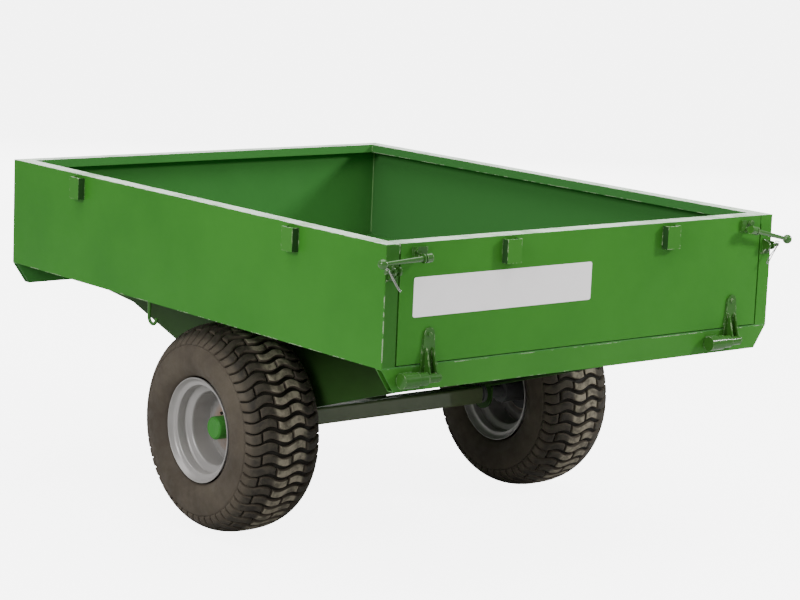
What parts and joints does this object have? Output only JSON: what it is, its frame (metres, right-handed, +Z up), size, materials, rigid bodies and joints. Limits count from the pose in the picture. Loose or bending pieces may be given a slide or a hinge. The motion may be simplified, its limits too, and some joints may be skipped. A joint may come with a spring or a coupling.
{
  "type": "lawn tractor trailer",
  "caption": "Single-axle tipping box trailer with a drop tailgate, stake pockets, turf tyres, a clevis drawbar and a folding parking leg.",
  "frame": {"origin": "on the ground below the middle of the whole trailer's length and width", "axes": "+X forward to the hitch, +Y to the trailer's left, +Z up"},
  "size_m": [2.2834, 1.173, 0.748],
  "materials": {
    "bed_paint": "semi-gloss green paint on steel sheet, scuffed",
    "frame_paint": "semi-gloss green paint on welded steel",
    "wheel_paint": "silver-grey paint on pressed steel",
    "cap_paint": "green moulded cap",
    "hub_steel": "dark machined iron",
    "tyre_rubber": "dusty black turf tyre rubber",
    "lever_paint": "dark green paint on round bar"
  },
  "bodies": {
    "chassis": {"axle_tube": "frame_paint", "axle_gussets": "frame_paint", "drawbar": "frame_paint", "hitch_clevis": "frame_paint", "bed_rest": "frame_paint", "bed_latch": "frame_paint", "leg_bracket": "frame_paint", "spindle_left": "hub_steel", "spindle_right": "hub_steel"},
    "bed": {"floor_panel": "bed_paint", "front_wall": "bed_paint", "rear_rail": "bed_paint", "front_rail": "bed_paint", "cross_members": "frame_paint", "pivot_bushes": "hub_steel", "rope_hooks": "frame_paint", "side_wall_left": "bed_paint", "corner_post_left": "bed_paint", "frame_plate_left": "frame_paint", "stake_pockets_left": "bed_paint", "hinge_pin_left": "frame_paint", "latch_keeper_left": "lever_paint", "side_wall_right": "bed_paint", "corner_post_right": "bed_paint", "frame_plate_right": "frame_paint", "stake_pockets_right": "bed_paint", "hinge_pin_right": "frame_paint", "latch_keeper_right": "lever_paint"},
    "tailgate": {"tailgate_panel": "bed_paint", "gate_stake_pockets": "bed_paint", "hinge_strap_left": "frame_paint", "hinge_strap_right": "frame_paint", "latch_lever_left": "lever_paint", "latch_lever_right": "lever_paint"},
    "parking_leg": {"parking_leg": "frame_paint", "leg_foot": "frame_paint"},
    "wheel_left": {"tyre_left": "tyre_rubber", "rim_left": "wheel_paint", "hub_left": "hub_steel", "hub_cap_left": "cap_paint"},
    "wheel_right": {"tyre_right": "tyre_rubber", "rim_right": "wheel_paint", "hub_right": "hub_steel", "hub_cap_right": "cap_paint"}
  },
  "joints": [
    {"name": "bed_tip", "type": "hinge", "parent": "chassis", "child": "bed", "pos_m": [-0.43225, 0, 0.235], "axis": [0, -1, 0], "range_deg": [0, 35]},
    {"name": "tailgate_hinge", "type": "hinge", "parent": "bed", "child": "tailgate", "pos_m": [-1.12325, 0, 0.474], "axis": [0, -1, 0], "range_deg": [0, 170]},
    {"name": "wheel_left_spin", "type": "hinge", "parent": "chassis", "child": "wheel_left", "pos_m": [-0.43225, 0.431, 0.235], "axis": [0, 1, 0], "continuous": true},
    {"name": "wheel_right_spin", "type": "hinge", "parent": "chassis", "child": "wheel_right", "pos_m": [-0.43225, -0.431, 0.235], "axis": [0, 1, 0], "continuous": true},
    {"name": "parking_leg_fold", "type": "hinge", "parent": "chassis", "child": "parking_leg", "pos_m": [0.24375, 0, 0.23033], "axis": [0, 1, 0], "range_deg": [0, 88]}
  ]
}
